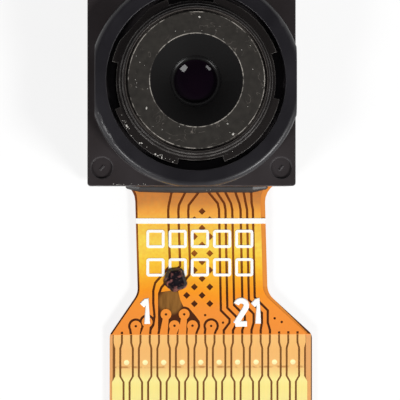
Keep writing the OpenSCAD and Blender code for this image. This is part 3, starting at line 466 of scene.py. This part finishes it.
# ---------------------------------------------------------------------------------------------------------------
# Lens barrel: a turned-looking moulding in black plastic. Its rings are smooth and satin, with a painted highlight
# along their edges; the flat ring round the bowl is matt and scratched, with chipped edges whose sparkle is a
# painted highlight; and the bowl is deep black.
barrel, shader, place = finish("black barrel moulding", Specular_IOR_Level=0.12, Coat_Roughness=0.14)
flat_place = add(barrel, "ShaderNodeVectorMath", {"operation": "MULTIPLY"},
                 {0: place, 1: (1.0, 1.0, 0.0)}).outputs[0]
radius = add(barrel, "ShaderNodeVectorMath", {"operation": "LENGTH"}, {0: flat_place}).outputs["Value"]
height = add(barrel, "ShaderNodeSeparateXYZ", None, {0: place}).outputs["Z"]
barrel_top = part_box("lens_barrel")[1].z / MM
iris_r, lip_r, bowl_r, matt_r, groove_w = 0.66, 0.8, 1.43, 2.12, 0.08
on_top = add(barrel, "ShaderNodeMath", {"operation": "GREATER_THAN"}, {0: height, 1: barrel_top - 0.06}).outputs[0]
past_bowl = add(barrel, "ShaderNodeMath", {"operation": "GREATER_THAN"}, {0: radius, 1: bowl_r}).outputs[0]
in_matt = add(barrel, "ShaderNodeMath", {"operation": "LESS_THAN"}, {0: radius, 1: matt_r}).outputs[0]
ring_zone = add(barrel, "ShaderNodeMath", {"operation": "MULTIPLY"}, {0: past_bowl, 1: in_matt}).outputs[0]
matt = add(barrel, "ShaderNodeMath", {"operation": "MULTIPLY"}, {0: ring_zone, 1: on_top}).outputs[0]
# Blotches of 0.2 mm in the matt ring, from the spark-eroded mould
dusty = add(barrel, "ShaderNodeTexNoise", None, {"Vector": place, "Scale": 5.0, "Detail": 6.0}).outputs["Fac"]
matt_tone = add(barrel, "ShaderNodeMix", {"data_type": "RGBA"},
                {0: dusty, 6: linear("#1e1c1a"), 7: linear("#36332f")})
# Scratches are the thin level lines of a slow noise, broken up by a second one
slow = add(barrel, "ShaderNodeTexNoise", None, {"Vector": place, "Scale": 1.6, "Detail": 2.0, "Distortion": 0.6})
level = add(barrel, "ShaderNodeMath", {"operation": "PINGPONG"}, {0: slow.outputs["Fac"], 1: 0.06}).outputs[0]
thin = add(barrel, "ShaderNodeMapRange", None, {0: level, 1: 0.0, 2: 0.004, 3: 1.0, 4: 0.0}).outputs[0]
breaks = add(barrel, "ShaderNodeTexNoise", None, {"Vector": place, "Scale": 3.0, "Detail": 2.0}).outputs["Fac"]
broken = add(barrel, "ShaderNodeMapRange", None, {0: breaks, 1: 0.52, 2: 0.6}).outputs[0]
scratch = add(barrel, "ShaderNodeMath", {"operation": "MULTIPLY"}, {0: thin, 1: broken}).outputs[0]
scratched = add(barrel, "ShaderNodeMix", {"data_type": "RGBA"}, {0: scratch, 6: matt_tone.outputs[2],
                                                                 7: linear("#6a645e")}).outputs[2]
plain = add(barrel, "ShaderNodeMix", {"data_type": "RGBA"}, {0: past_bowl, 6: linear("#0e0d0d"),
                                                             7: linear("#211e1d")}).outputs[2]
# The lip of the iris is rolled inwards, finer than the moulding is drawn, so its surface leans to the axis
lean = add(barrel, "ShaderNodeMapRange", None, {0: radius, 1: iris_r, 2: lip_r, 3: -1.5, 4: 0.0}).outputs[0]
inward = add(barrel, "ShaderNodeVectorMath", {"operation": "SCALE"}, {0: flat_place, "Scale": lean}).outputs[0]
leaning = add(barrel, "ShaderNodeVectorMath", {"operation": "ADD"}, {0: rounded_edges(barrel, 0.045), 1: inward})
barrel_edge = add(barrel, "ShaderNodeVectorMath", {"operation": "NORMALIZE"}, {0: leaning.outputs[0]}).outputs[0]
# The edges of the rings and lugs are painted lighter: a painted highlight, broken up by a noise
barrel_highlight_breakup = add(barrel, "ShaderNodeTexNoise", None, {"Vector": place, "Scale": 2.6, "Detail": 4.0}).outputs["Fac"]
lit_edges = add(barrel, "ShaderNodeMath", {"operation": "MULTIPLY"},
           {0: painted_edge_highlight(barrel, barrel_edge, barrel_highlight_breakup, 0.8), 1: past_bowl}).outputs[0]
rings_with_painted_highlight = add(barrel, "ShaderNodeMix", {"data_type": "RGBA"},
                   {0: lit_edges, 6: plain, 7: linear("#8a8682")}).outputs[2]
# The narrow groove outside the matt ring is painted lighter than the rings: painted light, standing in for the
# bright line along it
past_matt = add(barrel, "ShaderNodeMath", {"operation": "GREATER_THAN"}, {0: radius, 1: matt_r - 0.005}).outputs[0]
in_groove = add(barrel, "ShaderNodeMath", {"operation": "LESS_THAN"}, {0: radius, 1: matt_r + groove_w}).outputs[0]
groove = add(barrel, "ShaderNodeMath", {"operation": "MULTIPLY"}, {0: past_matt, 1: in_groove}).outputs[0]
rings_and_lit_groove = add(barrel, "ShaderNodeMix", {"data_type": "RGBA"}, {0: groove, 6: rings_with_painted_highlight,
                                                                    7: linear("#4c4743")}).outputs[2]
toned = add(barrel, "ShaderNodeMix", {"data_type": "RGBA"}, {0: matt, 6: rings_and_lit_groove, 7: scratched}).outputs[2]
# Chipped edges at both sides of the matt ring, their glints painted as pale flecks: a painted highlight
chips = add(barrel, "ShaderNodeTexNoise", None, {"Vector": place, "Scale": 7.0, "Detail": 3.0}).outputs["Fac"]
chip_runs = add(barrel, "ShaderNodeTexNoise", None, {"Vector": place, "Scale": 1.3, "Detail": 2.0}).outputs["Fac"]
chip_glint_noise = add(barrel, "ShaderNodeMath", {"operation": "MULTIPLY"}, {0: chips, 1: chip_runs}).outputs[0]
chip_glint_mask = add(barrel, "ShaderNodeMapRange", None, {0: chip_glint_noise, 1: 0.18, 2: 0.3}).outputs[0]
edges = []
for edge_r in (bowl_r + 0.015, matt_r - 0.02):
    off = add(barrel, "ShaderNodeMath", {"operation": "SUBTRACT"}, {0: radius, 1: edge_r}).outputs[0]
    away = add(barrel, "ShaderNodeMath", {"operation": "ABSOLUTE"}, {0: off}).outputs[0]
    edges.append(add(barrel, "ShaderNodeMapRange", None, {0: away, 1: 0.003, 2: 0.018, 3: 0.95, 4: 0.0}).outputs[0])
both = add(barrel, "ShaderNodeMath", {"operation": "MAXIMUM"}, {0: edges[0], 1: edges[1]}).outputs[0]
sparkle = add(barrel, "ShaderNodeMath", {"operation": "MULTIPLY"},
              {0: both, 1: add(barrel, "ShaderNodeMath", {"operation": "MULTIPLY"},
                               {0: chip_glint_mask, 1: on_top}).outputs[0]}).outputs[0]
wire(add(barrel, "ShaderNodeMix", {"data_type": "RGBA"}, {0: sparkle, 6: toned, 7: linear("#a8a29a")}).outputs[2],
     shader.inputs["Base Color"])
# The rings are smooth, the bowl is etched so that it throws no light back, and the lip of the iris is polished
in_bowl = add(barrel, "ShaderNodeMath", {"operation": "LESS_THAN"}, {0: radius, 1: bowl_r}).outputs[0]
iris_lip = add(barrel, "ShaderNodeMath", {"operation": "LESS_THAN"}, {0: radius, 1: lip_r}).outputs[0]
etched = add(barrel, "ShaderNodeMath", {"operation": "SUBTRACT"}, {0: in_bowl, 1: iris_lip}).outputs[0]
dull = add(barrel, "ShaderNodeMath", {"operation": "MAXIMUM"}, {0: matt, 1: etched}).outputs[0]
wire(add(barrel, "ShaderNodeMapRange", None, {0: dull, 3: 0.25, 4: 0.7}).outputs[0], shader.inputs["Roughness"])
wire(add(barrel, "ShaderNodeMapRange", None, {0: dull, 3: 0.45, 4: 0.0}).outputs[0], shader.inputs["Coat Weight"])
wire(add(barrel, "ShaderNodeBump", None, {"Height": dusty, "Distance": 0.004 * MM, "Strength": 0.3,
                                          "Normal": barrel_edge}).outputs[0], shader.inputs["Normal"])
dress("lens_barrel", barrel)

# ---------------------------------------------------------------------------------------------------------------
# Front lens: moulded clear plastic with a coating that looks black with a violet tinge. The lamps show in its far
# face, which is hollow as seen from outside, so they appear on the side away from them.
coated, shader, place = finish("coated front lens", Roughness=0.08, Specular_IOR_Level=0.06, Coat_Weight=0.14,
                               Coat_Roughness=0.03, Coat_IOR=1.45)
bloom = add(coated, "ShaderNodeTexNoise", None, {"Vector": place, "Scale": 1.1, "Detail": 1.0}).outputs["Fac"]
wire(add(coated, "ShaderNodeMix", {"data_type": "RGBA"}, {0: bloom, 6: linear("#06030a"), 7: linear("#10070f")})
     .outputs[2], shader.inputs["Base Color"])
facing = add(coated, "ShaderNodeNewGeometry").outputs["Normal"]
turned = add(coated, "ShaderNodeVectorMath", {"operation": "MULTIPLY"},
             {0: facing, 1: (-1.75, -1.75, 1.0)}).outputs[0]
wire(add(coated, "ShaderNodeVectorMath", {"operation": "NORMALIZE"}, {0: turned}).outputs[0],
     shader.inputs["Coat Normal"])
dress("front_lens", coated)

# ---------------------------------------------------------------------------------------------------------------
# Inner lenses: three more moulded clear discs, stacked in the barrel with thin black film rings between them.
clear, shader, place = finish("clear lens plastic", Roughness=0.02, Transmission_Weight=1.0, IOR=1.53)
wire(add(clear, "ShaderNodeMix", {"data_type": "RGBA"},
         {0: add(clear, "ShaderNodeTexNoise", None, {"Vector": place, "Scale": 0.8}).outputs["Fac"],
          6: linear("#eaf2ee"), 7: linear("#f6f4fa")}).outputs[2], shader.inputs["Base Color"])
for node_name in ("second_lens", "third_lens", "fourth_lens"):
    dress(node_name, clear)

soot, shader, place = finish("matt black film", Roughness=0.8, Specular_IOR_Level=0.2)
wire(add(soot, "ShaderNodeMix", {"data_type": "RGBA"},
         {0: add(soot, "ShaderNodeTexNoise", None, {"Vector": place, "Scale": 30.0}).outputs["Fac"],
          6: linear("#0c0c0c"), 7: linear("#1a1a1a")}).outputs[2], shader.inputs["Base Color"])
for node_name in ("aperture_stop", "front_spacer", "rear_spacer", "lens_retainer"):
    dress(node_name, soot)

# ---------------------------------------------------------------------------------------------------------------
# Glue: black epoxy, a thin line under the holder and a lumpy bead where the tail comes out. It has set with a
# dull gloss, in soft lumps of about 0.25 mm.
epoxy, shader, place = finish("black epoxy", Coat_Weight=0.12, Coat_Roughness=0.3)
lumps = add(epoxy, "ShaderNodeTexNoise", None, {"Vector": place, "Scale": 4.0, "Detail": 4.0}).outputs["Fac"]
wire(add(epoxy, "ShaderNodeMix", {"data_type": "RGBA"}, {0: lumps, 6: linear("#121112"), 7: linear("#232122")})
     .outputs[2], shader.inputs["Base Color"])
wire(add(epoxy, "ShaderNodeMapRange", None, {0: lumps, 3: 0.42, 4: 0.62}).outputs[0], shader.inputs["Roughness"])
wire(add(epoxy, "ShaderNodeBump", None, {"Height": lumps, "Distance": 0.03 * MM, "Strength": 0.5}).outputs[0],
     shader.inputs["Normal"])
dress("holder_glue", epoxy)
dress("glue_bead", epoxy)

# ---------------------------------------------------------------------------------------------------------------
# Print: white ink, screened on the coverlay as a line across the neck, with the plain numbers of the first and
# the last contact beside the fingers, and two rows of empty fields between them and the line.
ink, shader, place = finish("white screen ink", Roughness=0.55)
coverage = add(ink, "ShaderNodeTexNoise", None, {"Vector": place, "Scale": 7.0, "Detail": 5.0}).outputs["Fac"]
wire(add(ink, "ShaderNodeMix", {"data_type": "RGBA"}, {0: coverage, 6: linear("#fbfaf2"), 7: linear("#ffffff")})
     .outputs[2], shader.inputs["Base Color"])
wire(add(ink, "ShaderNodeBump", None, {"Height": coverage, "Distance": 0.004 * MM, "Strength": 0.3}).outputs[0],
     shader.inputs["Normal"])
dress("silkscreen_line", ink)
ink_low, ink_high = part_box("silkscreen_line")


def stroke(name, paths, width):
    """Print drawn with round-edged strokes: tubes along the paths, pressed flat to the thickness of the ink."""
    data = bpy.data.curves.new(name, "CURVE")
    data.dimensions, data.bevel_depth, data.bevel_resolution, data.use_fill_caps = "3D", width / 2 * MM, 2, True
    for path in paths:
        spline = data.splines.new("POLY")
        spline.points.add(len(path) - 1)
        for point, (x, y) in zip(spline.points, path):
            point.co = (x * MM, y * MM, 0.0, 1.0)
    drawn = bpy.data.objects.new(name, data)
    bpy.context.scene.collection.objects.link(drawn)
    mesh = bpy.data.meshes.new_from_object(drawn.evaluated_get(bpy.context.evaluated_depsgraph_get()))
    bpy.data.objects.remove(drawn)
    for v in mesh.vertices:
        v.co.z = ink_low.z + (v.co.z / (width * MM) + 0.5) * (ink_high.z - ink_low.z)
    mesh.materials.append(ink)
    made = bpy.data.objects.new(name, mesh)
    bpy.context.scene.collection.objects.link(made)
    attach(made, "root")


def one(x, y):
    """The digit 1, by the middle of its foot."""
    return [[(x - 0.17, y + 0.6), (x - 0.04, y + 0.74), (x, y + 0.76), (x, y)]]


def two(x, y):
    """The digit 2, by the left end of its foot."""
    arc = [(x + 0.17 - 0.165 * math.cos(math.radians(t)), y + 0.59 + 0.165 * math.sin(math.radians(t)))
           for t in range(15, 221, 20)]
    return [arc + [(x + 0.01, y + 0.03), (x, y)], [(x - 0.02, y), (x + 0.36, y)]]


number_y, number_stroke = -7.7, 0.19
stroke("first_contact_number", one(-1.42, number_y), number_stroke)
stroke("last_contact_number", two(1.46, number_y) + one(2.18, number_y), number_stroke)


# Two even rows of empty square fields, printed for the tester's pen marks
def tree_with(name, sockets):
    """A geometry tree with named inputs: the tree, what its input node gives, and its output node."""
    tree = bpy.data.node_groups.new(name, "GeometryNodeTree")
    for side in ("INPUT", "OUTPUT"):
        tree.interface.new_socket("Geometry", in_out=side, socket_type="NodeSocketGeometry")
    for label, kind in sockets.items():
        tree.interface.new_socket(label, in_out="INPUT", socket_type="NodeSocket" + kind)
    return tree, add(tree, "NodeGroupInput").outputs, add(tree, "NodeGroupOutput")


def grow(name, tree, spots, values):
    """Runs a geometry tree on points given in metres, and makes its result a plain piece."""
    data = bpy.data.meshes.new(name)
    data.from_pydata(spots, [], [])
    base = bpy.data.objects.new(name, data)
    bpy.context.scene.collection.objects.link(base)
    modifier = base.modifiers.new(name, "NODES")
    modifier.node_group = tree
    for item in tree.interface.items_tree:
        if item.in_out == "INPUT" and item.name in values:
            modifier[item.identifier] = values[item.name]
    mesh = bpy.data.meshes.new_from_object(base.evaluated_get(bpy.context.evaluated_depsgraph_get()))
    base.modifiers.clear()
    bpy.data.objects.remove(base)
    made = bpy.data.objects.new(name, mesh)
    bpy.context.scene.collection.objects.link(made)
    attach(made, "root")


fields, given, out = tree_with("blank print fields", {"Width": "Float", "Height": "Float", "Corner": "Float",
                                                      "Stroke": "Float", "Thickness": "Float", "Ink": "Material"})
frame_line = add(fields, "GeometryNodeCurvePrimitiveQuadrilateral", None,
                 {"Width": given["Width"], "Height": given["Height"]}).outputs[0]
soft_line = add(fields, "GeometryNodeFilletCurve", {"mode": "POLY"},
                {"Curve": frame_line, "Count": 5, "Radius": given["Corner"]}).outputs[0]
section = add(fields, "GeometryNodeCurvePrimitiveQuadrilateral", None,
              {"Width": given["Stroke"], "Height": given["Thickness"]}).outputs[0]
field = add(fields, "GeometryNodeCurveToMesh", None, {"Curve": soft_line, "Profile Curve": section}).outputs[0]
placed = add(fields, "GeometryNodeInstanceOnPoints", None, {"Points": given["Geometry"], "Instance": field})
real = add(fields, "GeometryNodeRealizeInstances", None, {"Geometry": placed.outputs[0]}).outputs[0]
flat = add(fields, "GeometryNodeSetShadeSmooth", None, {"Geometry": real, "Shade Smooth": False}).outputs[0]
inked = add(fields, "GeometryNodeSetMaterial", None, {"Geometry": flat, "Material": given["Ink"]}).outputs[0]
wire(inked, out.inputs["Geometry"])

field_pitch, field_left, field_rows, field_count = 0.72, -1.15, (-4.95, -5.87), 5
field_middle = (ink_low.z + ink_high.z) / 2
field_spots = [((field_left + i * field_pitch) * MM, y * MM, field_middle)
               for y in field_rows for i in range(field_count)]
grow("blank_print_fields", fields, field_spots,
     {"Width": 0.5 * MM, "Height": 0.5 * MM, "Corner": 0.04 * MM, "Stroke": 0.09 * MM,
      "Thickness": ink_high.z - ink_low.z, "Ink": ink})

# ---------------------------------------------------------------------------------------------------------------
# Stain: a hardened drop of dark flux resin on the tail, shiny black with a violet and pink sheen.
resin, shader, place = finish("hardened flux resin", Roughness=0.3, Specular_IOR_Level=0.3, Coat_Weight=0.35,
                              Coat_Roughness=0.05)
swirl = add(resin, "ShaderNodeTexNoise", None, {"Vector": place, "Scale": 5.0, "Detail": 3.0, "Distortion": 0.8})
swirl_ramp = add(resin, "ShaderNodeValToRGB", None, {"Fac": swirl.outputs["Fac"]})
swirl_ramp.color_ramp.elements[0].position, swirl_ramp.color_ramp.elements[0].color = 0.52, linear("#0c060e")
swirl_ramp.color_ramp.elements[1].position, swirl_ramp.color_ramp.elements[1].color = 0.7, linear("#8a5650")
wire(swirl_ramp.outputs["Color"], shader.inputs["Base Color"])
wire(add(resin, "ShaderNodeBump", None, {"Height": swirl.outputs["Fac"], "Distance": 0.02 * MM, "Strength": 0.5})
     .outputs[0], shader.inputs["Normal"])
dress("resin_drop", resin)

# ---------------------------------------------------------------------------------------------------------------
# Dirt: pale dust and shavings of plastic on the barrel, its lugs and the holder's lower edge, left by handling.
dust, shader, place = finish("pale dust", Roughness=0.5)
wire(add(dust, "ShaderNodeMix", {"data_type": "RGBA"},
         {0: add(dust, "ShaderNodeTexNoise", None, {"Vector": place, "Scale": 15.0}).outputs["Fac"],
          6: linear("#7c7972"), 7: linear("#d8d5ce")}).outputs[2], shader.inputs["Base Color"])

specks, given, out = tree_with("specks", {"Size": "Float", "Seed": "Int", "Dust": "Material"})
grain_ball = add(specks, "GeometryNodeMeshIcoSphere", None,
                 {"Radius": given["Size"], "Subdivisions": 2}).outputs[0]
turn = add(specks, "FunctionNodeRandomValue", {"data_type": "FLOAT_VECTOR"},
           {0: (0.0, 0.0, 0.0), 1: (0.4, 0.4, 6.28), "Seed": given["Seed"]}).outputs[0]
spread = add(specks, "FunctionNodeRandomValue", {"data_type": "FLOAT_VECTOR"},
             {0: (0.4, 0.4, 0.2), 1: (1.3, 1.0, 0.5), "Seed": given["Seed"]}).outputs[0]
placed = add(specks, "GeometryNodeInstanceOnPoints", None, {"Points": given["Geometry"], "Instance": grain_ball,
                                                            "Rotation": turn, "Scale": spread})
real = add(specks, "GeometryNodeRealizeInstances", None, {"Geometry": placed.outputs[0]}).outputs[0]
dusted = add(specks, "GeometryNodeSetMaterial", None, {"Geometry": real, "Material": given["Dust"]}).outputs[0]
wire(dusted, out.inputs["Geometry"])



def round_axis(r, t, z):
    """A point at radius r and angle t about the lens axis."""
    return (r * math.cos(t), r * math.sin(t), z)


# Each grain's middle is a little above the face that it lies on
matt_z, lug_z, bead_z = barrel_top - 0.035, barrel_top - 0.345, 0.56
holder_z, holder_lower = 2.905, -3.21
big_specks = [(-1.541, -0.866, matt_z), (0.955, -1.342, matt_z), (1.124, -1.658, matt_z), (0.089, 1.94, matt_z)]
big_specks += [round_axis(2.56, math.radians(t), lug_z) for t in (213, 214, 229)]
big_specks += [round_axis(2.6, math.radians(t), lug_z) for t in (228, 241, 243, 246)]
grow("dust_specks", specks, [[c * MM for c in spot] for spot in big_specks],
     {"Size": 0.045 * MM, "Seed": 3, "Dust": dust})

draw = random.Random(11)
fine_specks = [(0.166, 1.52, matt_z), (0.5, -3.38, bead_z), (0.62, -3.36, bead_z)]
for _ in range(22):
    angle, r = draw.uniform(0, 2 * math.pi), draw.uniform(1.5, 2.08)
    fine_specks.append(round_axis(r, angle, matt_z))
for _ in range(22):
    angle, r = math.radians(draw.uniform(205, 256)), draw.uniform(2.5, 2.64)
    fine_specks.append(round_axis(r, angle, lug_z))
for _ in range(12):
    fine_specks.append((draw.uniform(-2.65, -1.5), holder_lower + draw.uniform(-0.01, 0.03), holder_z))
grow("fine_dust", specks, [[c * MM for c in spot] for spot in fine_specks],
     {"Size": 0.015 * MM, "Seed": 8, "Dust": dust})
